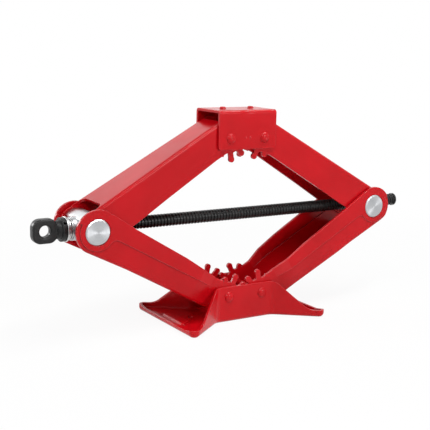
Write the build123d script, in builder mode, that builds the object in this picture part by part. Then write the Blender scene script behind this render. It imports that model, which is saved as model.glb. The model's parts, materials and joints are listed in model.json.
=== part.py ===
from build123d import *
import os
from math import cos, hypot, radians, sin, tan

os.makedirs("parts", exist_ok=True)

# Scissor jack. X runs along the lead screw with the drive eye at -X, Y from the front to the back,
# Z up. The origin is on the ground, midway between the two pivots of the base. Millimetres, degrees.

# The linkage
arm_length = 185.0          # trunnion axis to gear pivot
pivot_spacing = 44.6        # gear pivot to gear pivot, in the base and in the saddle alike
base_pivot_height = 29.4    # ground to the lower gear pivots
saddle_rise = 31.0          # upper gear pivots to the saddle's top face
arm_angle = 28.8            # arms above the horizontal, as drawn
lowest_angle = 9.0          # arms above the horizontal when the nut meets the end stop

# Sheet metal
sheet = 3.0                 # thickness of every pressed piece
bend_radius = 3.4           # outside radius of the arms' bends
running_gap = 0.3           # side clearance between pieces that turn beside each other
wall_lean = 0.1             # flanges lean in this much towards the web
gear_edge_length = 25.0     # the flanges' free edges are level over this length at the gears
gear_edge_height = 13.0     # above the pivot axis
notch_round = 4.0           # corners of the web's cut-backs

# Gear teeth cut in the arms' flanges, round-headed on a narrower neck
teeth_per_turn = 10
tooth_head_radius = 3.4
tooth_neck = 5.8            # width of the neck
neck_round = 2.0            # where the neck runs into the head
tooth_depth = 5.6           # pitch circle to tooth root
root_round = 2.0
full_head = 1.3             # middle of a full tooth's head, beyond the pitch circle
stub_head = -2.4            # the same of a stub, whose head is as narrow as the neck
leading_teeth = (stub_head, full_head, full_head, full_head, stub_head)
trailing_teeth = (full_head, full_head, full_head, full_head)
heel_angle = -42.0          # the toothed arc ends here, measured from the arm's own direction

# Upper arms
upper_end_width = 54.0      # across the flanges at the trunnion
upper_end_radius = 19.0
upper_taper_start = 22.0    # from the trunnion
upper_taper_rest = 25.0     # left untapered at the gear end
upper_web_drop = 19.8       # web below the pin axis at the trunnion
web_drop = 21.6             # web below the pivot axis at the gear end
upper_notch = 20.5          # web cut back this far from the trunnion axis
upper_notch_round = 9.0
upper_edge = ((0.0, 19.0), (45.0, 18.4), (85.0, 16.2))     # free edge above the pin axis

# Lower arms
lower_end_radius = 23.5
lower_web_drop = 23.5       # web below the pin axis at the trunnion
lower_web_settle = 50.0     # where the web reaches web_drop
lower_notch = 24.0
lower_narrowing = 70.0      # where the web starts to narrow towards the gear end
lower_edge = ((0.0, 23.5), (40.0, 20.6), (110.0, 17.8))
boss_radius = 19.5          # pressed boss round the trunnion
boss_step = 1.0             # boss and upper band stand out by this much
boss_blend = 8.0            # where the boss runs into the band
ridge_height = 2.0          # lower edge of the upper band, above the pin axis
joggle_length = 20.0        # over this length the upper band steps in towards the gears
joggle_rest = 27.0          # from the joggle's end to the gear pivot

# Gear pivots
saddle_half_width = 24.6    # outside of the saddle's walls
base_half_width = 29.0      # outside of the base's walls
pivot_pin_radius = 4.5
pivot_pin_clearance = 0.08
pivot_head_radius = 6.0
pivot_head_height = 2.6

# Base
foot_half_length = 90.5
wall_half_length = 37.0     # straight middle stretch of the walls
foot_flare = 37.5           # angle of the flanks from the X axis
foot_corner_radius = 6.5
flank_bend_radius = 14.0
base_wall_height = 41.2
base_shoulder = 39.8        # where the wall's level top ends
base_shoulder_radius = 13.0
foot_lip_length = 18.5      # level rim beyond the flank's slope
foot_lip_height = 8.4       # of the rim at the corners
end_lip_height = 6.0        # of the rim across the foot's end
end_lip_half = 46.0
end_lip_rise = 18.0         # over which the end's rim climbs to the corners
flank_knee_radius = 14.0
base_bend_radius = 5.0
base_hole_radius = 2.75
base_hole_inset = 34.5      # from the foot's end
panel_inset = 10.5          # raised stiffening panel, from the foot's end
panel_length = 15.0
panel_inner_half = 16.0
panel_outer_half = 26.0
panel_height = 1.8
panel_slope = 40.0

# Saddle
saddle_half_length = 37.8
saddle_wall_drop = 12.4     # wall below the upper gear pivots
saddle_bend_radius = 4.0
saddle_corner_radius = 4.0
nub_x = 18.5                # grip nubs pressed up in the top
nub_radius = 3.6
nub_height = 2.4
nub_round = 1.8

# Trunnions
journal_radius = 13.7
journal_clearance = 0.1
open_pivot_clearance = 0.3  # right upper arm on the nut trunnion
journal_stand_out = 1.0
journal_chamfer = 1.2
hole_edge_round = 0.8
trunnion_body_radius = 17.0
trunnion_flat = 13.0        # flats across the screw, from the trunnion axis
trunnion_pad_radius = 12.5
nut_face = 14.0

# Screw and its thrust bearing
screw_radius = 7.0
screw_clearance = 0.08
screw_end_chamfer = 1.2
collar_radius = 12.7
collar_face = 24.5          # trunnion axis to the collar's inner face
collar_length = 5.0
collar_chamfer = 0.8
eye_centre = 46.0           # trunnion axis to the middle of the eye
eye_width = 27.0
eye_height = 25.6
eye_corner_radius = 9.0
eye_thickness = 10.0
eye_edge_round = 2.0
eye_hole_radius = 6.0
eye_hole_round = 2.5
neck_radius = 9.6
neck_end = 35.5             # trunnion axis to where the neck has run into the eye
socket_depth = 9.0
socket_clearance = 0.05
roll_pin_radius = 1.9
roll_pin_wall = 0.6
roll_pin_slot = 0.7
roll_pin_clearance = 0.03
roll_pin_tilt = 40.0        # above the horizontal, towards the front
front_race_radius = 13.3
front_race_length = 2.0
back_race_radius = 11.6
back_race_length = 1.8
ball_count = 14
ball_radius = 1.6
ball_clearance = 0.1
ball_circle_radius = 9.3
cage_length = 1.4
cage_outer_radius = 11.6
cage_inner_radius = 7.2
end_stop_radius = 7.75
end_stop_length = 2.6
end_stop_margin = 0.3       # between the nut and the stop with the jack fully down
end_stop_clearance = 0.05

# What follows from them
half_spacing = pivot_spacing / 2
trunnion_x = half_spacing + arm_length * cos(radians(arm_angle))
trunnion_z = base_pivot_height + arm_length * sin(radians(arm_angle))
saddle_pivot_z = base_pivot_height + 2 * arm_length * sin(radians(arm_angle))
saddle_top_z = saddle_pivot_z + saddle_rise

upper_pin_half = upper_end_width / 2
upper_gear_half = saddle_half_width - sheet - running_gap
lower_pin_half = upper_pin_half + running_gap + sheet
lower_gear_half = base_half_width - sheet - running_gap
boss_half = lower_pin_half + boss_step
journal_end = boss_half + journal_stand_out
trunnion_body_half = upper_pin_half - sheet - running_gap
pin_hole_radius = pivot_pin_radius + pivot_pin_clearance
journal_hole_radius = journal_radius + journal_clearance
screw_hole_radius = screw_radius + screw_clearance

tooth_pitch = 360.0 / teeth_per_turn
tip_radius = half_spacing + full_head + tooth_head_radius
root_radius = half_spacing - tooth_depth
neck_meets_head = (tooth_head_radius ** 2 - (tooth_neck / 2) ** 2) ** 0.5
neck_end_radius = hypot(half_spacing + full_head - neck_meets_head, tooth_neck / 2)
# The two arms of a pair turn alike but opposite ways, so a tooth on one meets a gap on the other
# when their teeth stand a quarter pitch either side of the line between the pivots.
leading_tooth = arm_angle - tooth_pitch / 4 - tooth_pitch
trailing_tooth = arm_angle + tooth_pitch / 4 - tooth_pitch

joggle_end = arm_length - joggle_rest
joggle_start = joggle_end - joggle_length
base_hole_x = foot_half_length - base_hole_inset
panel_outer_x = foot_half_length - panel_inset
panel_inner_x = panel_outer_x - panel_length

# Stations along the bearing, outwards from the trunnion axis
front_race_face = collar_face - front_race_length
ball_middle = front_race_face - ball_clearance - ball_radius
back_race_face = ball_middle - ball_radius - ball_clearance
thrust_pad_face = back_race_face - back_race_length
collar_end = collar_face + collar_length
screw_start = collar_face + socket_depth
nut_travel = arm_length * (cos(radians(lowest_angle)) - cos(radians(arm_angle))) * 2
end_stop_face = nut_face + nut_travel + end_stop_margin

clear_span = 160.0          # larger than any cut that has to run out of a piece


def arm_plane(side, level):
    # Local x runs along the arm from the trunnion to the gear pivot, local y towards the screw.
    along = Vector(-side * cos(radians(arm_angle)), 0, level * sin(radians(arm_angle)))
    inward = Vector(-side * sin(radians(arm_angle)), 0, -level * cos(radians(arm_angle)))
    return Plane((side * trunnion_x, 0, trunnion_z), x_dir=along, z_dir=along.cross(inward))


def cross_section(plane, distance, profile, inset, bend):
    # A closed section across an arm. The profile is one side, from the free edge to the web.
    station = Plane(plane.from_local_coords((distance, 0, 0)), x_dir=-plane.z_dir, z_dir=plane.x_dir)
    side = [(half - inset, height) for half, height in profile[:-1]]
    side += [(half - inset, height + inset) for half, height in profile[-1:]]
    with BuildSketch(station) as section:
        with BuildLine():
            Polyline(*side, *[(-x, y) for x, y in reversed(side)], close=True)
        make_face()
        if bend > 0:
            fillet(section.vertices().group_by(Axis.Y)[0], bend)
    return section.sketch


def arm_loft(plane, profiles, inset, bend, mode=Mode.ADD):
    # The arm's outside, or with an inset its hollow, ruled from station to station.
    loft([cross_section(plane, at, profile, inset, bend) for at, profile in profiles], True, mode=mode)


def tooth_outline(head):
    # One tooth pointing along local x, from the pivot out.
    with BuildSketch() as tooth:
        Rectangle(half_spacing + head, tooth_neck, align=(Align.MIN, Align.CENTER))
        with Locations((half_spacing + head, 0)):
            Circle(tooth_head_radius if head > 0 else tooth_neck / 2)
    return tooth.sketch


def flange_waste(plane, end_radius, edge, first_tooth, heads):
    # Everything round one flange that the press trims away.
    start = end_radius / 4
    pivot = Vector(arm_length, 0)
    blank = [(start, -clear_span / 2), (arm_length, -clear_span / 2), (arm_length, gear_edge_height)]
    blank += [(arm_length - gear_edge_length, gear_edge_height), *reversed(edge[1:]), (start, edge[0][1])]
    teeth = [tooth_outline(head) for head in heads]
    with BuildSketch() as heel:
        Circle(web_drop)
        Rectangle(3 * web_drop, 2 * web_drop, rotation=heel_angle,
                  align=(Align.CENTER, Align.MAX), mode=Mode.INTERSECT)
    with BuildSketch() as flange:
        Circle(end_radius)
        with BuildLine():
            Polyline(*blank, close=True)
        make_face()
        with Locations(pivot):
            Circle(root_radius)
            add(heel.sketch)
        for i, tooth in enumerate(teeth):
            with Locations(Location(pivot, (0, 0, first_tooth + i * tooth_pitch))):
                add(tooth)
        corners = [(v, (Vector(v) - pivot).length) for v in flange.vertices() if v.X > arm_length - root_radius]
        necks = [v for v, distance in corners if abs(distance - neck_end_radius) < 0.02]
        roots = [v for v, distance in corners if -0.02 < distance - root_radius < tooth_head_radius]
        fillet(necks, neck_round)
        fillet(roots, root_round)
    with BuildSketch(plane) as waste:
        with Locations((arm_length / 2, 0)):
            Rectangle(arm_length + 2 * clear_span, 2 * clear_span)
        add(flange.sketch, mode=Mode.SUBTRACT)
    return waste.sketch


def trim_flanges(plane, end_radius, edge):
    leading = flange_waste(plane, end_radius, edge, leading_tooth, leading_teeth)
    trailing = flange_waste(plane, end_radius, edge, trailing_tooth, trailing_teeth)
    extrude(leading, amount=clear_span / 2, mode=Mode.SUBTRACT)
    extrude(trailing, amount=-clear_span / 2, mode=Mode.SUBTRACT)


def cut_back_web(plane, notch, round_radius, pin_inside, gear_inside):
    # The web stops short of the trunnion and of the gear pivot; the flanges run on alone.
    floor = Plane(plane.origin, x_dir=plane.x_dir, z_dir=-plane.y_dir)
    with BuildSketch(floor) as ends:
        with Locations((notch, 0)):
            Rectangle(clear_span, 2 * pin_inside, align=(Align.MAX, Align.CENTER))
        with Locations((arm_length, 0)):
            Rectangle(clear_span, 2 * gear_inside, align=(Align.MIN, Align.CENTER))
        fillet([v for v in ends.vertices() if abs(v.X - notch) < 0.01], round_radius)
        fillet([v for v in ends.vertices() if abs(v.X - arm_length) < 0.01], notch_round)
    extrude(ends.sketch, amount=clear_span, mode=Mode.SUBTRACT)


def bore(plane, distance, radius):
    # A plain hole through both flanges.
    with BuildSketch(plane) as hole:
        with Locations((distance, 0)):
            Circle(radius)
    extrude(hole.sketch, amount=clear_span, both=True, mode=Mode.SUBTRACT)


def upper_arm(plane, pin_clearance):
    flange_top = tip_radius + 2
    at_pin = ((upper_pin_half, flange_top), (upper_pin_half, -upper_web_drop))
    at_gear = ((upper_gear_half, flange_top), (upper_gear_half, -web_drop))
    profiles = [(-clear_span / 4, at_pin), (upper_taper_start, at_pin)]
    profiles += [(arm_length - upper_taper_rest, at_gear), (arm_length + clear_span / 4, at_gear)]
    with BuildPart() as arm:
        arm_loft(plane, profiles, 0, bend_radius)
        arm_loft(plane, profiles, sheet, bend_radius - sheet, Mode.SUBTRACT)
        trim_flanges(plane, upper_end_radius, upper_edge)
        cut_back_web(plane, upper_notch, upper_notch_round, upper_pin_half - sheet, upper_gear_half - sheet)
        bore(plane, 0, journal_radius + pin_clearance)
        bore(plane, arm_length, pin_hole_radius)
    return arm.part


def raised_band(plane, inset):
    # The boss round the trunnion and the band above the ridge, stepping in at the joggle.
    def across(half):
        return (half, tip_radius + 2), (half, -boss_radius - 2 + inset)
    stations = [(-clear_span / 4, across(boss_half)), (joggle_start, across(boss_half))]
    stations.append((joggle_end, across(lower_gear_half)))
    with BuildSketch(plane) as face:
        Circle(boss_radius)
        with BuildLine():
            Polyline((0, ridge_height), (joggle_end + 1, ridge_height),
                     (joggle_end + 1, clear_span), (0, clear_span), close=True)
        make_face()
        meet = face.vertices().sort_by_distance((boss_radius, ridge_height))[0]
        fillet(meet, boss_blend)
        Circle(boss_radius)
        Rectangle(clear_span, clear_span, align=(Align.MAX, Align.MIN))
    with BuildPart() as band:
        arm_loft(plane, stations, inset, 0)
        extrude(face.sketch, amount=clear_span, both=True, mode=Mode.INTERSECT)
    return band.part


def lower_arm(plane):
    flange_top = tip_radius + 2

    def section(ridge_half, corner_half, drop):
        return (ridge_half, flange_top), (ridge_half, ridge_height), (corner_half - wall_lean, -drop)
    at_pin = section(lower_pin_half, lower_pin_half, lower_web_drop)
    settled = section(lower_pin_half, lower_pin_half, web_drop)
    at_joggle = section(lower_pin_half, lower_gear_half, web_drop)
    at_gear = section(lower_gear_half, lower_gear_half, web_drop)
    profiles = [(-clear_span / 4, at_pin), (0, at_pin), (lower_web_settle, settled)]
    profiles += [(lower_narrowing, settled), (joggle_start, at_joggle), (joggle_end, at_gear)]
    profiles.append((arm_length + clear_span / 4, at_gear))
    band = raised_band(plane, 0)
    band_hollow = raised_band(plane, sheet)
    inside = lower_pin_half - wall_lean - sheet
    with BuildPart() as arm:
        arm_loft(plane, profiles, 0, bend_radius)
        add(band)
        arm_loft(plane, profiles, sheet, bend_radius - sheet, Mode.SUBTRACT)
        add(band_hollow, mode=Mode.SUBTRACT)
        trim_flanges(plane, lower_end_radius, lower_edge)
        cut_back_web(plane, lower_notch, notch_round, inside, lower_gear_half - wall_lean - sheet)
        bore(plane, 0, journal_hole_radius)
        bore(plane, arm_length, pin_hole_radius)
        rims = arm.edges().filter_by(GeomType.CIRCLE)
        rims = [e for e in rims if abs(e.radius - journal_hole_radius) < 0.01]
        fillet([e for e in rims if abs(e.center().Y) > boss_half - 0.1], hole_edge_round)
    return arm.part


def pivot_pin(x, z, half_width):
    # A rivet: plain shank through both walls and a low domed head on each side.
    crown = half_width + pivot_head_height
    shoulder = (pivot_head_radius * 0.8, half_width + pivot_head_height * 0.66)
    with BuildPart() as pin:
        with BuildSketch(Plane((x, 0, z), x_dir=(1, 0, 0), z_dir=(0, 0, 1))):
            with BuildLine():
                ThreePointArc((0, crown), shoulder, (pivot_head_radius, half_width))
                Line((pivot_head_radius, half_width), (pivot_pin_radius, half_width))
                Line((pivot_pin_radius, half_width), (pivot_pin_radius, 0))
                mirror(about=Plane.XZ)
                Line((0, crown), (0, -crown))
            make_face()
        revolve(axis=Axis((x, 0, z), (0, 1, 0)))
    return pin.part


def trunnion(side, outer_face):
    # Turned and flatted cross-piece: a journal each end for the arms, a bore for the screw.
    axis = Plane((side * trunnion_x, 0, trunnion_z), x_dir=(1, 0, 0), z_dir=(0, -1, 0))
    across = Plane((side * trunnion_x, 0, trunnion_z), x_dir=(0, 1, 0), z_dir=(side, 0, 0))
    with BuildPart() as block:
        with BuildSketch(axis):
            Circle(trunnion_body_radius)
            Rectangle(2 * trunnion_flat, 2 * trunnion_body_radius, mode=Mode.INTERSECT)
        extrude(amount=trunnion_body_half, both=True)
        with BuildSketch(axis):
            Circle(journal_radius)
        extrude(amount=journal_end, both=True)
        ends = block.edges().filter_by(lambda e: abs(abs(e.center().Y) - journal_end) < 0.01)
        chamfer(ends, journal_chamfer)
        with BuildSketch(across):
            Circle(trunnion_pad_radius)
        extrude(amount=outer_face)
        with BuildSketch(across):
            Circle(screw_hole_radius)
        extrude(amount=clear_span, both=True, mode=Mode.SUBTRACT)
    return block.part


def washer(outer_radius, inner_radius, face, length, edge_round):
    # A ring round the screw, from its outward face inwards.
    with BuildPart() as ring:
        with BuildSketch(Plane.YZ.offset(-trunnion_x - face)):
            with Locations((0, trunnion_z)):
                Circle(outer_radius)
                Circle(inner_radius, mode=Mode.SUBTRACT)
        extrude(amount=length)
        rims = ring.edges().filter_by(GeomType.CIRCLE)
        fillet([e for e in rims if e.radius > outer_radius - 0.01], edge_round)
    return ring.part


# Base: a waisted tray, walls in the middle for the lower pivots, a flared foot at each end.
flare_rise = (foot_half_length - wall_half_length) * tan(radians(foot_flare))
foot_corner_y = base_half_width + flare_rise

with BuildSketch() as footprint:
    with BuildLine():
        Polyline((wall_half_length, base_half_width), (foot_half_length, foot_corner_y),
                 (foot_half_length, -foot_corner_y), (wall_half_length, -base_half_width),
                 (-wall_half_length, -base_half_width), (-foot_half_length, -foot_corner_y),
                 (-foot_half_length, foot_corner_y), (-wall_half_length, base_half_width), close=True)
    make_face()
    fillet([v for v in footprint.vertices() if abs(v.X) > wall_half_length + 1], foot_corner_radius)
    waist = [v for v in footprint.vertices() if abs(abs(v.X) - wall_half_length) < 0.01]
    fillet(waist, flank_bend_radius)

with BuildPart() as tray_hollow:
    with BuildSketch(Plane.XY.offset(sheet)):
        offset(footprint.sketch, -sheet, kind=Kind.INTERSECTION)
    extrude(amount=base_wall_height)
    fillet(tray_hollow.edges().group_by(Axis.Z)[0], base_bend_radius - sheet)

with BuildSketch() as panel:
    with BuildLine():
        Polyline((panel_inner_x, -panel_inner_half), (panel_outer_x, -panel_outer_half),
                 (panel_outer_x, panel_outer_half), (panel_inner_x, panel_inner_half), close=True)
    make_face()
    fillet(panel.vertices(), sheet)

with BuildPart() as base:
    add(footprint.sketch)
    extrude(amount=base_wall_height)
    fillet(base.edges().group_by(Axis.Z)[0], base_bend_radius)
    add(tray_hollow.part, mode=Mode.SUBTRACT)
    with BuildSketch(Plane.XZ) as silhouette:
        with BuildLine():
            lip_x = foot_half_length - foot_lip_length
            right = [(base_shoulder, base_wall_height), (lip_x, foot_lip_height)]
            right += [(foot_half_length + 1, foot_lip_height), (foot_half_length + 1, 0)]
            Polyline(*right, *[(-x, z) for x, z in reversed(right)], close=True)
        make_face()
        fillet(silhouette.vertices().group_by(Axis.Y)[-1], base_shoulder_radius)
        knees = [v for v in silhouette.vertices() if abs(abs(v.X) - lip_x) < 0.01]
        fillet(knees, flank_knee_radius)
    extrude(amount=clear_span, both=True, mode=Mode.INTERSECT)
    for side in (-1, 1):
        with BuildSketch(Plane.YZ.offset(side * (foot_half_length - foot_corner_radius))):
            with BuildLine():
                dip = [(end_lip_half, end_lip_height), (end_lip_half + end_lip_rise, foot_lip_height + 1)]
                Polyline(*dip, *[(-y, z) for y, z in reversed(dip)], close=True)
            make_face()
        extrude(amount=side * clear_span, mode=Mode.SUBTRACT)
        turn = 90 - 90 * side
        raised = panel.sketch.moved(Location((0, 0, sheet), (0, 0, turn)))
        extrude(raised, amount=panel_height, taper=panel_slope)
        beneath = panel.sketch.moved(Location((0, 0, 0), (0, 0, turn)))
        extrude(beneath, amount=panel_height, taper=panel_slope, mode=Mode.SUBTRACT)
        with BuildSketch(Plane.XZ):
            with Locations((side * half_spacing, base_pivot_height)):
                Circle(pin_hole_radius)
        extrude(amount=clear_span, both=True, mode=Mode.SUBTRACT)
        with Locations((side * base_hole_x, 0, sheet)):
            Hole(base_hole_radius)
base.part.label = "base"
export_step(base.part, "parts/base.step")

# Saddle: an inverted channel over the upper gears, with two nubs that grip the sill.
with BuildPart() as saddle:
    saddle_height = saddle_rise + saddle_wall_drop
    with BuildSketch(Plane.YZ.offset(-saddle_half_length)) as channel:
        with Locations((0, saddle_top_z)):
            Rectangle(2 * saddle_half_width, saddle_height, align=(Align.CENTER, Align.MAX))
        fillet(channel.vertices().group_by(Axis.Y)[-1], saddle_bend_radius)
    extrude(amount=2 * saddle_half_length)
    with BuildSketch(Plane.YZ.offset(-saddle_half_length)) as hollow:
        with Locations((0, saddle_top_z - sheet)):
            Rectangle(2 * (saddle_half_width - sheet), saddle_height, align=(Align.CENTER, Align.MAX))
        fillet(hollow.vertices().group_by(Axis.Y)[-1], saddle_bend_radius - sheet)
    extrude(amount=2 * saddle_half_length, mode=Mode.SUBTRACT)
    with BuildSketch(Plane.XZ) as wall_outline:
        with Locations((0, saddle_top_z)):
            Rectangle(2 * saddle_half_length, saddle_height, align=(Align.CENTER, Align.MAX))
        fillet(wall_outline.vertices().group_by(Axis.Y)[0], saddle_corner_radius)
    extrude(amount=clear_span, both=True, mode=Mode.INTERSECT)
    for side in (-1, 1):
        with BuildSketch(Plane.XY.offset(saddle_top_z - sheet / 2)):
            with Locations((side * nub_x, 0)):
                Circle(nub_radius)
        extrude(amount=nub_height + sheet / 2)
        rim = saddle.edges().filter_by(GeomType.CIRCLE).group_by(Axis.Z)[-1]
        fillet(rim.sort_by_distance((side * nub_x, 0, saddle_top_z))[0], nub_round)
        with BuildSketch(Plane.XZ):
            with Locations((side * half_spacing, saddle_pivot_z)):
                Circle(pin_hole_radius)
        extrude(amount=clear_span, both=True, mode=Mode.SUBTRACT)
saddle.part.label = "saddle"
export_step(saddle.part, "parts/saddle.step")

# Arms: the right pair are the same pressings as the left, turned half round.
for side_name, side in (("left", -1), ("right", 1)):
    lower = lower_arm(arm_plane(side, -1))
    lower.label = f"lower_{side_name}_arm"
    export_step(lower, f"parts/{lower.label}.step")
    upper = upper_arm(arm_plane(side, 1), open_pivot_clearance if side > 0 else journal_clearance)
    upper.label = f"upper_{side_name}_arm"
    export_step(upper, f"parts/{upper.label}.step")

# Rivets at the four gear pivots
for holder, z, half_width in (("base", base_pivot_height, base_half_width),
                              ("saddle", saddle_pivot_z, saddle_half_width)):
    for side_name, side in (("left", -1), ("right", 1)):
        pin = pivot_pin(side * half_spacing, z, half_width)
        pin.label = f"{holder}_{side_name}_pivot_pin"
        export_step(pin, f"parts/{pin.label}.step")

# Trunnions: the left one carries the screw's thrust bearing, the right one is its nut.
bearing_trunnion = trunnion(-1, thrust_pad_face)
bearing_trunnion.label = "bearing_trunnion"
export_step(bearing_trunnion, "parts/bearing_trunnion.step")
nut_trunnion = trunnion(1, nut_face)
nut_trunnion.label = "nut_trunnion"
export_step(nut_trunnion, "parts/nut_trunnion.step")

# Thrust bearing: two races with caged balls between them.
thrust_washer_front = washer(front_race_radius, screw_hole_radius, collar_face, front_race_length, 0.5)
thrust_washer_front.label = "thrust_washer_front"
export_step(thrust_washer_front, "parts/thrust_washer_front.step")
thrust_washer_back = washer(back_race_radius, screw_hole_radius, back_race_face, back_race_length, 0.4)
thrust_washer_back.label = "thrust_washer_back"
export_step(thrust_washer_back, "parts/thrust_washer_back.step")

with BuildPart() as ball_cage:
    with BuildSketch(Plane.YZ.offset(-trunnion_x - ball_middle - cage_length / 2)):
        with Locations((0, trunnion_z)):
            Circle(cage_outer_radius)
            Circle(cage_inner_radius, mode=Mode.SUBTRACT)
            with PolarLocations(ball_circle_radius, ball_count):
                Circle(ball_radius + ball_clearance, mode=Mode.SUBTRACT)
    extrude(amount=cage_length)
ball_cage.part.label = "ball_cage"
export_step(ball_cage.part, "parts/ball_cage.step")

with BuildPart() as bearing_balls:
    with Locations(Plane((-trunnion_x - ball_middle, 0, trunnion_z), x_dir=(0, 1, 0), z_dir=(1, 0, 0))):
        with PolarLocations(ball_circle_radius, ball_count):
            Sphere(ball_radius)
bearing_balls.part.label = "bearing_balls"
export_step(bearing_balls.part, "parts/bearing_balls.step")

# Lead screw, from its seat in the drive eye to the end stop. The thread's crests are at screw_radius.
roll_pin_at = Vector(-trunnion_x - collar_face - collar_length / 2, 0, trunnion_z)
roll_pin_way = Vector(0, -cos(radians(roll_pin_tilt)), sin(radians(roll_pin_tilt)))
roll_pin_plane = Plane(roll_pin_at, x_dir=(1, 0, 0), z_dir=roll_pin_way)

with BuildPart() as lead_screw:
    with BuildSketch(Plane.YZ.offset(-trunnion_x - screw_start)):
        with Locations((0, trunnion_z)):
            Circle(screw_radius)
    extrude(amount=2 * trunnion_x + screw_start + end_stop_face + end_stop_length)
    chamfer(lead_screw.edges().group_by(Axis.X)[-1], screw_end_chamfer)
    with BuildSketch(roll_pin_plane):
        Circle(roll_pin_radius + roll_pin_clearance)
    extrude(amount=clear_span, both=True, mode=Mode.SUBTRACT)
lead_screw.part.label = "lead_screw"
export_step(lead_screw.part, "parts/lead_screw.step")

# Drive eye: a forged ring on a round neck and collar, pinned to the screw.
with BuildPart() as drive_eye:
    with BuildSketch(Plane.XZ) as eye_outline:
        with Locations((-trunnion_x - eye_centre, trunnion_z)):
            RectangleRounded(eye_width, eye_height, eye_corner_radius)
    extrude(amount=eye_thickness / 2, both=True)
    fillet(drive_eye.edges().filter_by(Plane.XZ), eye_edge_round)
    with BuildSketch(Plane.YZ.offset(-trunnion_x - collar_end)):
        with Locations((0, trunnion_z)):
            Circle(neck_radius)
    with BuildSketch(Plane.YZ.offset(-trunnion_x - neck_end)):
        with Locations((0, trunnion_z)):
            Ellipse(eye_thickness / 2, neck_radius)
    loft()
    with BuildSketch(Plane.YZ.offset(-trunnion_x - collar_end)):
        with Locations((0, trunnion_z)):
            Circle(collar_radius)
    extrude(amount=collar_length)
    collar_rims = [e for e in drive_eye.edges().filter_by(GeomType.CIRCLE) if e.radius > collar_radius - 0.01]
    chamfer(collar_rims, collar_chamfer)
    with BuildSketch(Plane.XZ):
        with Locations((-trunnion_x - eye_centre, trunnion_z)):
            Circle(eye_hole_radius)
    extrude(amount=clear_span, both=True, mode=Mode.SUBTRACT)
    hole_rims = [e for e in drive_eye.edges().filter_by(GeomType.CIRCLE)
                 if abs(e.radius - eye_hole_radius) < 0.01]
    fillet(hole_rims, eye_hole_round)
    with BuildSketch(Plane.YZ.offset(-trunnion_x - collar_face)):
        with Locations((0, trunnion_z)):
            Circle(screw_radius + socket_clearance)
    extrude(amount=-socket_depth - socket_clearance, mode=Mode.SUBTRACT)
    with BuildSketch(roll_pin_plane):
        Circle(roll_pin_radius + roll_pin_clearance)
    extrude(amount=clear_span / 4, both=True, mode=Mode.SUBTRACT)
drive_eye.part.label = "drive_eye"
export_step(drive_eye.part, "parts/drive_eye.step")

with BuildPart() as drive_eye_roll_pin:
    with BuildSketch(roll_pin_plane):
        Circle(roll_pin_radius)
        Circle(roll_pin_radius - roll_pin_wall, mode=Mode.SUBTRACT)
        Rectangle(2 * roll_pin_radius, roll_pin_slot, align=(Align.MIN, Align.CENTER), mode=Mode.SUBTRACT)
    extrude(amount=collar_radius - collar_chamfer / 2, both=True)
drive_eye_roll_pin.part.label = "drive_eye_roll_pin"
export_step(drive_eye_roll_pin.part, "parts/drive_eye_roll_pin.step")

with BuildPart() as screw_end_stop:
    with BuildSketch(Plane.YZ.offset(trunnion_x + end_stop_face)):
        with Locations((0, trunnion_z)):
            Circle(end_stop_radius)
            Circle(screw_radius + end_stop_clearance, mode=Mode.SUBTRACT)
    extrude(amount=end_stop_length)
screw_end_stop.part.label = "screw_end_stop"
export_step(screw_end_stop.part, "parts/screw_end_stop.step")
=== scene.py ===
import bpy, bmesh, json, math
from mathutils import Matrix, Vector

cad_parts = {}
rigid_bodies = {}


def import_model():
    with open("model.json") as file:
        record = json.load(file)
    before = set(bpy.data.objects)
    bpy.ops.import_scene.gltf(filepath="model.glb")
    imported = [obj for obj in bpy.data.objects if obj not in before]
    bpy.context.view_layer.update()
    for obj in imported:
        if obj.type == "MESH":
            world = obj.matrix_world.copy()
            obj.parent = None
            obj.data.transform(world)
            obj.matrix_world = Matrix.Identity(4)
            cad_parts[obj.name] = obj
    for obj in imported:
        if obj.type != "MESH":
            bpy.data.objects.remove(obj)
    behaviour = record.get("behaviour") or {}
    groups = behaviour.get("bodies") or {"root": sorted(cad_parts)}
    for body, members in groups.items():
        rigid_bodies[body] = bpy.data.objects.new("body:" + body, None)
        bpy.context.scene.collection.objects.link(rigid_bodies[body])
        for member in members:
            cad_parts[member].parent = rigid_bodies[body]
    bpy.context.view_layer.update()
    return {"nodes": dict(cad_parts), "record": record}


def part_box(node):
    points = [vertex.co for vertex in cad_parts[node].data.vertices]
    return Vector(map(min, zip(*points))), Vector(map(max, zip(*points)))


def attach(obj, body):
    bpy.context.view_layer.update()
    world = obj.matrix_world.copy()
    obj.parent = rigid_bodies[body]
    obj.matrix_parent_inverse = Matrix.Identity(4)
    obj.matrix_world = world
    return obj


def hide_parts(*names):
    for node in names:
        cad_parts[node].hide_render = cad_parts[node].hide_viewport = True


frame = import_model()

mm = 0.001
nodeBody = {node: body for body, nodes in frame["record"]["behaviour"]["bodies"].items() for node in nodes}


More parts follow.
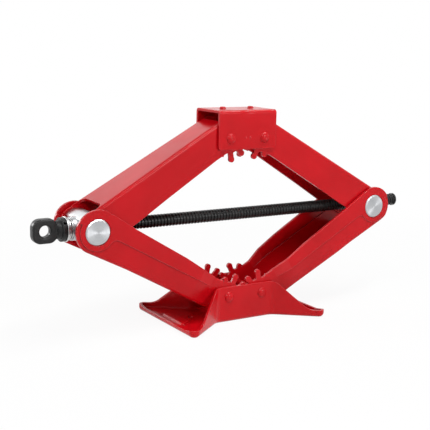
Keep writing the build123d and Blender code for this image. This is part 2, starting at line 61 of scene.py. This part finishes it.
# A few shortcuts for wiring a shader
class Finish:
    def __init__(self, name):
        self.material = bpy.data.materials.new(name)
        self.material.use_nodes = True
        self.tree = self.material.node_tree
        self.shader = self.tree.nodes["Principled BSDF"]

    def put(self, kind, sockets=None, **settings):
        node = self.tree.nodes.new(kind)
        for key, value in settings.items():
            setattr(node, key, value)
        for key, value in (sockets or {}).items():
            if isinstance(value, bpy.types.NodeSocket):
                self.tree.links.new(value, node.inputs[key])
            else:
                node.inputs[key].default_value = value
        return node

    def feed(self, socketName, source):
        self.tree.links.new(source, self.shader.inputs[socketName])

    def place(self):
        return self.put("ShaderNodeTexCoord").outputs["Object"]

    def noise(self, where, scale, detail=3.0, roughness=0.5):
        node = self.put("ShaderNodeTexNoise", {"Vector": where, "Scale": scale, "Detail": detail,
                                               "Roughness": roughness})
        return node.outputs["Fac"]

    def ramp(self, source, low, high, fromMin=0.0, fromMax=1.0):
        node = self.put("ShaderNodeMapRange", {"Value": source, "From Min": fromMin, "From Max": fromMax,
                                               "To Min": low, "To Max": high})
        return node.outputs["Result"]

    def blend(self, factor, first, second):
        node = self.put("ShaderNodeMix", data_type="RGBA")
        colours = [s for s in node.inputs if s.type == "RGBA"]
        for socket, value in ((node.inputs[0], factor), (colours[0], first), (colours[1], second)):
            if isinstance(value, bpy.types.NodeSocket):
                self.tree.links.new(value, socket)
            else:
                socket.default_value = value
        return [s for s in node.outputs if s.type == "RGBA"][0]

    def bump(self, height, strength, distance, under=None):
        # under is the normal of the coarser bump below, where there is one
        sockets = {"Height": height, "Strength": strength, "Distance": distance}
        if under is not None:
            sockets["Normal"] = under
        return self.put("ShaderNodeBump", sockets).outputs["Normal"]


# Finishes
# corner: the painted shade colour for hollows and gaps
# the pale pink edge colour is a painted highlight
redEnamelSizes = {"colour": (0.55, 0.003, 0.008, 1), "deep": (0.47, 0.0025, 0.006, 1), "cloud": 18,
                  "corner": (0.16, 0.002, 0.006, 1), "edgeHighlightColour": (0.86, 0.11, 0.12, 1), "reach": 2.6 * mm,
                  "edge": 1.0 * mm, "peel": 420, "peelDepth": 0.05 * mm, "sag": 45, "sagDepth": 0.5 * mm,
                  "gloss": (0.15, 0.26), "shine": 0.20, "pit": 1500}


def redEnamel(name="redEnamel", marks=()):
    # sprayed enamel over pressed sheet: faint orange peel, slow waves, dust nibs; painted shade darkens the
    # corners and a painted highlight lightens the edges
    f = Finish(name)
    s = redEnamelSizes
    where = f.place()
    cloud = f.noise(where, s["cloud"], 2.0)
    sprayed = f.blend(f.ramp(cloud, 0, 1, 0.35, 0.65), s["colour"], s["deep"])
    # painted shade: where ambient occlusion finds close surfaces, the colour darkens towards the corner
    # colour
    paintedCornerShade = f.put("ShaderNodeAmbientOcclusion", {"Distance": s["reach"]}, samples=8,
                 only_local=True).outputs["AO"]
    eased = f.put("ShaderNodeBevel", {"Radius": s["edge"]}, samples=6).outputs[0]
    # painted highlight: at edges, where the rounded normal turns away from the true normal, the colour is
    # lightened towards a pale pink
    flat = f.put("ShaderNodeNewGeometry").outputs["True Normal"]
    facing = f.put("ShaderNodeVectorMath", {0: eased, 1: flat}, operation="DOT_PRODUCT").outputs["Value"]
    withEdgeHighlight = f.blend(f.ramp(facing, 0.75, 0, 0.78, 0.99), sprayed, s["edgeHighlightColour"])
    f.feed("Base Color", f.blend(f.ramp(paintedCornerShade, 0.9, 0, 0.35, 0.9), withEdgeHighlight, s["corner"]))
    f.feed("Roughness", f.ramp(f.noise(where, 70, 5.0), s["gloss"][0], s["gloss"][1], 0.3, 0.7))
    wave = f.bump(f.noise(where, s["sag"], 1.0), 0.5, s["sagDepth"], eased)
    peel = f.bump(f.noise(where, s["peel"], 2.0), 0.3, s["peelDepth"], wave)
    nibs = f.ramp(f.noise(where, s["pit"], 0.0), 0, 1, 0.74, 0.80)
    last = f.bump(nibs, 0.25, 0.06 * mm, peel)
    for at, reach, height in marks:
        away = f.put("ShaderNodeVectorMath", {0: where, 1: at}, operation="DISTANCE").outputs["Value"]
        last = f.bump(f.ramp(away, 1, 0, 0, reach), 1.0, height, last)
    f.feed("Normal", last)
    f.shader.inputs["Specular IOR Level"].default_value = s["shine"]
    return f.material


zincSizes = {"dark": (0.40, 0.41, 0.43, 1), "light": (0.56, 0.57, 0.58, 1), "ringScale": 900,
             "ringDepth": 0.04 * mm, "smooth": 0.27, "dull": 0.38, "brushed": 0.75, "wobble": 1.2 * mm}


def turnedZinc(name, centre):
    # zinc over a lathe-turned face: fine rings round the piece's own Y axis stretch the highlights
    f = Finish(name)
    s = zincSizes
    where = f.place()
    arm = f.put("ShaderNodeVectorMath", {0: where, 1: centre}, operation="SUBTRACT").outputs[0]
    flat = f.put("ShaderNodeVectorMath", {0: arm, 1: (1, 0, 1)}, operation="MULTIPLY").outputs[0]
    reach = f.put("ShaderNodeVectorMath", {0: flat}, operation="LENGTH").outputs["Value"]
    sideways = f.put("ShaderNodeVectorMath", {0: flat, 1: (0, 1, 0)}, operation="CROSS_PRODUCT").outputs[0]
    tangent = f.put("ShaderNodeVectorTransform", {0: sideways}, vector_type="VECTOR", convert_from="OBJECT",
                   convert_to="WORLD").outputs[0]
    f.feed("Tangent", tangent)
    wobble = f.put("ShaderNodeMath", {0: f.noise(where, 160, 3.0), 1: s["wobble"]},
                   operation="MULTIPLY").outputs[0]
    wound = f.put("ShaderNodeMath", {0: reach, 1: wobble}, operation="ADD").outputs[0]
    rings = f.noise(f.put("ShaderNodeCombineXYZ", {"X": wound}).outputs[0], s["ringScale"] * 2, 3.0)
    cloud = f.noise(where, 140, 5.0, 0.6)
    turned = f.ramp(rings, 0, 0.6, 0.35, 0.65)
    stained = f.ramp(cloud, 0, 0.4, 0.3, 0.7)
    shade = f.put("ShaderNodeMath", {0: turned, 1: stained}, operation="ADD").outputs[0]
    f.feed("Base Color", f.blend(shade, s["dark"], s["light"]))
    f.feed("Roughness", f.ramp(f.noise(where, 300, 4.0), s["smooth"], s["dull"], 0.3, 0.7))
    f.feed("Normal", f.bump(rings, 0.6, s["ringDepth"]))
    f.shader.inputs["Metallic"].default_value = 1.0
    f.shader.inputs["Anisotropic"].default_value = s["brushed"]
    return f.material


blackSizes = {"dark": (0.004, 0.004, 0.0045, 1), "light": (0.014, 0.0135, 0.013, 1), "cloud": 130,
              "edge": 0.8 * mm, "shine": 0.3, "screw": {"rough": 0.32, "grain": 700, "pits": 0.05 * mm},
              "eye": {"rough": 0.38, "grain": 330, "pits": 0.22 * mm}}


def blackOxide(name, kind):
    # blackened steel: oiled and fine on the screw, coarser as forged on the eye
    f = Finish(name)
    s = blackSizes
    own = s[kind]
    where = f.place()
    cloud = f.ramp(f.noise(where, s["cloud"], 5.0, 0.6), 0, 1, 0.3, 0.7)
    f.feed("Base Color", f.blend(cloud, s["dark"], s["light"]))
    f.feed("Roughness", f.ramp(f.noise(where, 260, 4.0), own["rough"] - 0.10, own["rough"] + 0.10, 0.3, 0.7))
    eased = f.put("ShaderNodeBevel", {"Radius": s["edge"]}, samples=6).outputs[0]
    pits = f.bump(f.noise(where, own["grain"], 4.0), 0.5, own["pits"], eased)
    f.feed("Normal", f.bump(f.noise(where, own["grain"] * 4, 2.0), 0.3, own["pits"] / 3, pits))
    f.shader.inputs["Specular IOR Level"].default_value = s["shine"]
    return f.material


steelSizes = {"washer": {"dark": (0.38, 0.38, 0.39, 1), "light": (0.62, 0.62, 0.61, 1), "rough": 0.24},
              "ball": {"dark": (0.55, 0.55, 0.57, 1), "light": (0.72, 0.72, 0.73, 1), "rough": 0.08},
              "cloud": 220, "lap": 1600, "lapDepth": 0.02 * mm}


def bearingSteel(name, kind):
    f = Finish(name)
    s = steelSizes
    own = s[kind]
    where = f.place()
    cloud = f.ramp(f.noise(where, s["cloud"], 5.0), 0, 1, 0.3, 0.7)
    f.feed("Base Color", f.blend(cloud, own["dark"], own["light"]))
    f.feed("Roughness", f.ramp(f.noise(where, 700, 3.0), own["rough"], own["rough"] + 0.14, 0.3, 0.7))
    f.feed("Normal", f.bump(f.noise(where, s["lap"], 2.0), 0.2, s["lapDepth"]))
    f.shader.inputs["Metallic"].default_value = 1.0
    return f.material


enamel = redEnamel()
screwBlack = blackOxide("oiledBlackScrew", "screw")
forgedBlack = blackOxide("forgedBlackEye", "eye")
plainSteel = bearingSteel("plainSteel", "washer")
ballSteel = bearingSteel("ballSteel", "ball")
print("finishes made")


# Pressed and turned pieces, from their CAD nodes
easeSizes = {"angle": 28, "segments": 3, "merge": 0.001 * mm, "flat": 0.6}


def softened(node, material, width, pressed=None):
    # a copy of a node with its sharp edges eased, as paint and tumbling leave them
    s = easeSizes
    mesh = frame["nodes"][node].data.copy()
    mesh.materials.clear()
    mesh.materials.append(material)
    shell = bmesh.new()
    shell.from_mesh(mesh)
    bmesh.ops.remove_doubles(shell, verts=shell.verts, dist=s["merge"])
    bmesh.ops.dissolve_limit(shell, angle_limit=math.radians(s["flat"]), verts=shell.verts, edges=shell.edges)
    for face in shell.faces:
        face.smooth = True
    shell.to_mesh(mesh)
    shell.free()
    piece = linkPiece(node + "_finished", mesh)
    bevel = piece.modifiers.new("easedEdges", "BEVEL")
    bevel.width = width
    bevel.segments = s["segments"]
    bevel.limit_method = "ANGLE"
    bevel.angle_limit = math.radians(s["angle"])
    bevel.use_clamp_overlap = True
    bevel.harden_normals = False
    flats = piece.modifiers.new("flatFaces", "WEIGHTED_NORMAL")
    flats.keep_sharp = True
    flats.weight = 80
    settle(piece)
    if pressed:
        pressed(piece.data)
    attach(piece, nodeBody[node])
    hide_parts(node)


def linkPiece(name, mesh):
    piece = bpy.data.objects.new(name, mesh)
    bpy.context.scene.collection.objects.link(piece)
    return piece


def settle(piece):
    # what the modifiers make becomes the piece's own mesh
    bpy.context.view_layer.update()
    made = piece.evaluated_get(bpy.context.evaluated_depsgraph_get())
    mesh = bpy.data.meshes.new_from_object(made)
    piece.modifiers.clear()
    piece.data = mesh
    return piece


jointAt = {row["name"]: tuple(row["pos_m"]) for row in frame["record"]["behaviour"]["joints"]}

for node in ("base", "lower_left_arm", "lower_right_arm", "upper_left_arm", "upper_right_arm"):
    softened(node, enamel, 0.5 * mm)


saddleSizes = {"edge": 0.5 * mm, "front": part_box("saddle")[0][1], "rivets": 207.6 * mm,
               "dots": (-2.7 * mm, 3.3 * mm), "dotLift": 0.5 * mm, "dotRadius": 1.2 * mm,
               "dotProud": 0.35 * mm,
               "dentAt": (-1 * mm, 31.5 * mm), "dentReach": 10 * mm, "dentDepth": 0.6 * mm}


def punchDots(mesh):
    # two low dots raised from behind by a punch, between the saddle's rivets
    s = saddleSizes
    shell = bmesh.new()
    shell.from_mesh(mesh)
    for x in s["dots"]:
        dot = bmesh.ops.create_uvsphere(shell, u_segments=24, v_segments=12, radius=s["dotRadius"])["verts"]
        bmesh.ops.scale(shell, vec=(1, s["dotProud"] / s["dotRadius"], 1), verts=dot)
        bmesh.ops.translate(shell, vec=(x, s["front"], s["rivets"] + s["dotLift"]), verts=dot)
        for face in {face for corner in dot for face in corner.link_faces}:
            face.smooth = True
    shell.to_mesh(mesh)
    shell.free()


dentX, dentRise = saddleSizes["dentAt"]
dent = ((dentX, saddleSizes["front"] + 1 * mm, saddleSizes["rivets"] + dentRise), saddleSizes["dentReach"],
        -saddleSizes["dentDepth"])
softened("saddle", redEnamel("redEnamelSaddle", [dent]), saddleSizes["edge"], pressed=punchDots)
for node in [n for n in frame["nodes"] if n.endswith("pivot_pin")]:
    softened(node, enamel, 0.3 * mm)
for node in ("bearing_trunnion", "nut_trunnion"):
    softened(node, turnedZinc(node + "Zinc", jointAt[node + "_turn"]), 0.25 * mm)
for node, material, width in (("drive_eye", forgedBlack, 0.5), ("drive_eye_roll_pin", forgedBlack, 0.15),
                              ("screw_end_stop", screwBlack, 0.5), ("thrust_washer_front", plainSteel, 0.2),
                              ("thrust_washer_back", plainSteel, 0.2), ("ball_cage", plainSteel, 0.15)):
    softened(node, material, width * mm)
frame["nodes"]["bearing_balls"].material_slots[0].material = ballSteel
print("pieces dressed")


# The lead screw's thread
threadSizes = {"pitch": 4.0 * mm, "depth": 1.3 * mm, "flank": 0.2, "crest": 0.3, "segments": 36,
               "plain": 16 * mm, "chamfer": 1.2 * mm}


class Tree:
    # a geometry tree with named inputs, wired by short calls
    def __init__(self, name, inputs):
        self.group = bpy.data.node_groups.new(name, "GeometryNodeTree")
        self.ids = {}
        for label, kind in inputs.items():
            socket = self.group.interface.new_socket(label, in_out="INPUT", socket_type=kind)
            self.ids[label] = socket.identifier
        self.group.interface.new_socket("Geometry", in_out="OUTPUT", socket_type="NodeSocketGeometry")
        self.given = self.group.nodes.new("NodeGroupInput").outputs
        self.out = self.group.nodes.new("NodeGroupOutput")

    def put(self, kind, sockets=None, **settings):
        node = self.group.nodes.new(kind)
        for key, value in settings.items():
            setattr(node, key, value)
        for key, value in (sockets or {}).items():
            if isinstance(value, bpy.types.NodeSocket):
                self.group.links.new(value, node.inputs[key])
            else:
                node.inputs[key].default_value = value
        return node

    def maths(self, operation, a, b=0.0):
        return self.put("ShaderNodeMath", {0: a, 1: b}, operation=operation).outputs[0]

    def finish(self, shells):
        join = self.put("GeometryNodeJoinGeometry")
        for shell in shells:
            self.group.links.new(shell, join.inputs[0])
        whole = self.put("GeometryNodeRealizeInstances", {"Geometry": join.outputs[0]}).outputs[0]
        clad = self.put("GeometryNodeSetMaterial", {"Geometry": whole, "Material": self.given["Material"]})
        self.group.links.new(clad.outputs[0], self.out.inputs[0])

    def build(self, name, values):
        piece = linkPiece(name, bpy.data.meshes.new(name))
        modifier = piece.modifiers.new(name, "NODES")
        modifier.node_group = self.group
        for label, value in values.items():
            modifier[self.ids[label]] = value
        return settle(piece)


def threadTree():
    # a grid rolled round the X axis: four rows to a turn trace root, flank and crest, each row a helix
    number, whole = "NodeSocketFloat", "NodeSocketInt"
    t = Tree("screwThread", {"Start": number, "Length": number, "Crest Radius": number, "Depth": number,
                             "Pitch": number, "Flank": number, "Crest": number, "Segments": whole,
                             "Shank Start": number, "Tip": number, "Chamfer": number, "Height": number,
                             "Material": "NodeSocketMaterial"})
    g = t.given
    turns = t.maths("CEIL", t.maths("DIVIDE", g["Length"], g["Pitch"]))
    rows = t.maths("MULTIPLY", t.maths("ADD", turns, 3.0), 4.0)
    across = t.maths("ADD", g["Segments"], 1.0)
    grid = t.put("GeometryNodeMeshGrid", {"Vertices X": rows, "Vertices Y": across}).outputs["Mesh"]
    index = t.put("GeometryNodeInputIndex").outputs[0]
    row = t.maths("FLOOR", t.maths("DIVIDE", t.maths("ADD", index, 0.5), across))
    column = t.maths("SUBTRACT", index, t.maths("MULTIPLY", row, across))
    share = t.maths("DIVIDE", column, g["Segments"])
    phase = t.maths("FLOORED_MODULO", row, 4.0)
    turn = t.maths("FLOOR", t.maths("DIVIDE", t.maths("ADD", row, 0.5), 4.0))
    onCrest = t.maths("LESS_THAN", t.maths("ABSOLUTE", t.maths("SUBTRACT", phase, 1.5)), 1.0)
    # rows of a turn: root, crest after one flank, crest's end, root after the other flank
    second = t.maths("GREATER_THAN", phase, 1.5)
    odd = t.maths("FLOORED_MODULO", phase, 2.0)
    late = t.maths("MULTIPLY", second, t.maths("ADD", g["Flank"], g["Crest"]))
    step = t.maths("ADD", late, t.maths("MULTIPLY", g["Flank"], odd))
    along = t.maths("MULTIPLY", t.maths("ADD", t.maths("ADD", turn, step), t.maths("SUBTRACT", share, 2.0)),
                    g["Pitch"])
    inside = t.maths("MULTIPLY", t.maths("GREATER_THAN", along, 0.0),
                     t.maths("LESS_THAN", along, g["Length"]))
    kept = t.maths("MINIMUM", t.maths("MAXIMUM", along, 0.0), g["Length"])
    root = t.maths("SUBTRACT", g["Crest Radius"], g["Depth"])
    raised = t.maths("MULTIPLY", t.maths("MULTIPLY", onCrest, inside), g["Depth"])
    ends = t.maths("MULTIPLY", t.maths("GREATER_THAN", row, 0.5),
                   t.maths("LESS_THAN", row, t.maths("SUBTRACT", rows, 1.5)))
    radius = t.maths("MULTIPLY", t.maths("ADD", root, raised), ends)
    angle = t.maths("MULTIPLY", share, 2 * math.pi)
    place = t.put("ShaderNodeCombineXYZ", {
        "X": t.maths("ADD", kept, g["Start"]),
        "Y": t.maths("MULTIPLY", radius, t.maths("COSINE", angle)),
        "Z": t.maths("ADD", g["Height"], t.maths("MULTIPLY", radius, t.maths("SINE", angle)))}).outputs[0]
    wound = t.put("GeometryNodeSetPosition", {"Geometry": grid, "Position": place}).outputs[0]
    closed = t.put("GeometryNodeMergeByDistance", {"Geometry": wound, "Distance": 1e-6}).outputs[0]

    def plainBar(low, high, radius):
        bar = t.put("GeometryNodeMeshCylinder", {"Vertices": 64, "Radius": radius,
                                                 "Depth": t.maths("SUBTRACT", high, low)}).outputs["Mesh"]
        at = t.put("ShaderNodeCombineXYZ", {"X": t.maths("MULTIPLY", t.maths("ADD", low, high), 0.5),
                                            "Z": g["Height"]}).outputs[0]
        return t.put("GeometryNodeTransform", {"Geometry": bar, "Translation": at,
                                               "Rotation": (0, math.pi / 2, 0)}).outputs[0]
    threadEnd = t.maths("ADD", g["Start"], g["Length"])
    shank = plainBar(g["Shank Start"], t.maths("ADD", g["Start"], 0.3 * mm), g["Crest Radius"])
    tailRadius = t.maths("SUBTRACT", g["Crest Radius"], 0.4 * mm)
    tipStart = t.maths("SUBTRACT", g["Tip"], g["Chamfer"])
    tail = plainBar(threadEnd, t.maths("ADD", tipStart, 0.01 * mm), tailRadius)
    cone = t.put("GeometryNodeMeshCone", {"Vertices": 64, "Radius Bottom": tailRadius, "Depth": g["Chamfer"],
                                          "Radius Top": t.maths("SUBTRACT", tailRadius, g["Chamfer"])})
    coneAt = t.put("ShaderNodeCombineXYZ", {"X": tipStart, "Z": g["Height"]}).outputs[0]
    tip = t.put("GeometryNodeTransform", {"Geometry": cone.outputs["Mesh"], "Translation": coneAt,
                                          "Rotation": (0, math.pi / 2, 0)}).outputs[0]
    t.finish((closed, shank, tail, tip))
    return t


def cutThread():
    s = threadSizes
    low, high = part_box("lead_screw")  # the plain CAD bar that the thread is cut in
    radius, height = (high[1] - low[1]) / 2, (high[2] + low[2]) / 2
    start = jointAt["bearing_trunnion_turn"][0] + s["plain"]
    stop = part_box("screw_end_stop")[0][0]
    values = {"Start": start, "Length": stop - start, "Crest Radius": radius, "Depth": s["depth"],
              "Pitch": s["pitch"], "Flank": s["flank"], "Crest": s["crest"], "Segments": s["segments"],
              "Shank Start": low[0], "Tip": high[0], "Chamfer": s["chamfer"], "Height": height,
              "Material": screwBlack}
    piece = threadTree().build("lead_screw_finished", values)
    shell = bmesh.new()
    shell.from_mesh(piece.data)
    bmesh.ops.dissolve_degenerate(shell, dist=1e-6, edges=shell.edges)
    bmesh.ops.recalc_face_normals(shell, faces=shell.faces)
    for face in shell.faces:
        face.smooth = True
    shell.to_mesh(piece.data)
    shell.free()
    piece.data.set_sharp_from_angle(angle=math.radians(32))
    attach(piece, nodeBody["lead_screw"])
    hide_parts("lead_screw")
    print("thread cut:", len(piece.data.polygons), "faces")


cutThread()


# Floor, light and camera
cameraSizes = {"at": (-0.5754, -0.8741, 0.3125), "yaw": 32.18, "pitch": -10.62, "roll": 1.35,
               "focal": 928.1, "imageWidth": 430, "sensor": 36.0}


def placeCamera():
    s = cameraSizes
    yaw, pitch, roll = (math.radians(s[k]) for k in ("yaw", "pitch", "roll"))
    forward = Vector((math.sin(yaw) * math.cos(pitch), math.cos(yaw) * math.cos(pitch), math.sin(pitch)))
    right = Vector((math.cos(yaw), -math.sin(yaw), 0))
    up = right.cross(forward)
    across = right * math.cos(roll) + up * math.sin(roll)
    rise = -right * math.sin(roll) + up * math.cos(roll)
    data = bpy.data.cameras.new("camera")
    data.sensor_width = s["sensor"]
    data.lens = s["focal"] * s["sensor"] / s["imageWidth"]
    data.clip_end = 20
    camera = bpy.data.objects.new("camera", data)
    turn = Matrix((across, rise, -forward)).transposed().to_4x4()
    camera.matrix_world = Matrix.Translation(s["at"]) @ turn
    bpy.context.scene.collection.objects.link(camera)
    bpy.context.scene.camera = camera


floorSizes = {"radius": 6.0, "sides": 64, "grey": (0.88, 0.88, 0.88, 1), "white": 0.92, "fadeFrom": 0.35,
              "fadeTo": 0.8}


def layFloor():
    # a pale floor that runs into white; to the camera and to reflections it is mostly white, shadow kept
    s = floorSizes
    shell = bmesh.new()
    bmesh.ops.create_circle(shell, cap_ends=True, segments=s["sides"], radius=s["radius"])
    mesh = bpy.data.meshes.new("floor")
    shell.to_mesh(mesh)
    shell.free()
    floor = linkPiece("floor", mesh)
    f = Finish("paleFloor")
    where = f.place()
    f.shader.inputs["Roughness"].default_value = 0.9
    f.shader.inputs["Specular IOR Level"].default_value = 0.1
    f.feed("Base Color", f.blend(f.noise(where, 6, 3.0), s["grey"], (0.90, 0.90, 0.90, 1)))
    away = f.put("ShaderNodeVectorMath", {0: where}, operation="LENGTH").outputs["Value"]
    white = f.ramp(away, s["white"], 1.0, s["fadeFrom"], s["fadeTo"])
    share = f.put("ShaderNodeMath", {0: white, 1: seenDirectly(f)}, operation="MULTIPLY").outputs[0]
    glow = f.put("ShaderNodeEmission", {"Color": (1, 1, 1, 1), "Strength": 1.0})
    both = f.put("ShaderNodeMixShader", {0: share, 1: f.shader.outputs[0], 2: glow.outputs[0]})
    f.tree.links.new(both.outputs[0], f.tree.nodes["Material Output"].inputs["Surface"])
    mesh.materials.append(f.material)


def seenDirectly(f):
    # 1 for camera, mirror and glass rays
    path = f.put("ShaderNodeLightPath")
    eyes = f.put("ShaderNodeMath", {0: path.outputs["Is Camera Ray"], 1: path.outputs["Is Glossy Ray"]},
                 operation="MAXIMUM").outputs[0]
    return f.put("ShaderNodeMath", {0: eyes, 1: path.outputs["Is Transmission Ray"]},
                 operation="MAXIMUM").outputs[0]


lampSizes = {"key": {"at": (-0.85, -0.75, 1.25), "size": (0.4, 0.4), "power": 6},
             "top": {"at": (0.25, -0.35, 1.25), "size": (1.2, 0.16), "power": 11},
             "front": {"at": (0.55, -1.4, 0.55), "size": (0.5, 0.4), "power": 8},
             "left": {"at": (-1.5, 0.1, 0.45), "size": (0.5, 0.9), "power": 4},
             "rear": {"at": (-0.9, 1.25, 0.5), "size": (0.5, 0.4), "power": 7},
             "back": {"at": (-0.05, 1.25, 0.95), "size": (1.5, 0.7), "power": 1.8}}


def hangLamps():
    for name, s in lampSizes.items():
        data = bpy.data.lights.new(name, "AREA")
        data.shape = "RECTANGLE"
        data.size, data.size_y = s["size"]
        data.energy = s["power"]
        lamp = bpy.data.objects.new(name, data)
        aim = Vector((0, 0, 0.11)) - Vector(s["at"])
        lamp.matrix_world = Matrix.Translation(s["at"]) @ aim.to_track_quat("-Z", "Y").to_matrix().to_4x4()
        bpy.context.scene.collection.objects.link(lamp)


worldSizes = {"ambient": 0.10, "seen": 1.0}


def paintWorld():
    world = bpy.data.worlds.new("studio")
    bpy.context.scene.world = world
    world.use_nodes = True
    tree = world.node_tree
    back = tree.nodes["Background"]
    back.inputs["Color"].default_value = (1, 1, 1, 1)
    path = tree.nodes.new("ShaderNodeLightPath")
    seen = tree.nodes.new("ShaderNodeMath")
    both = tree.nodes.new("ShaderNodeMath")
    seen.operation = both.operation = "MAXIMUM"
    tree.links.new(path.outputs["Is Camera Ray"], seen.inputs[0])
    tree.links.new(path.outputs["Is Transmission Ray"], seen.inputs[1])
    tree.links.new(seen.outputs[0], both.inputs[0])
    tree.links.new(path.outputs["Is Glossy Ray"], both.inputs[1])
    strength = tree.nodes.new("ShaderNodeMapRange")
    strength.inputs["To Min"].default_value = worldSizes["ambient"]
    strength.inputs["To Max"].default_value = worldSizes["seen"]
    tree.links.new(both.outputs[0], strength.inputs["Value"])
    tree.links.new(strength.outputs[0], back.inputs["Strength"])


placeCamera()
layFloor()
hangLamps()
paintWorld()
bpy.context.scene.view_settings.view_transform = "Standard"
print("studio set")
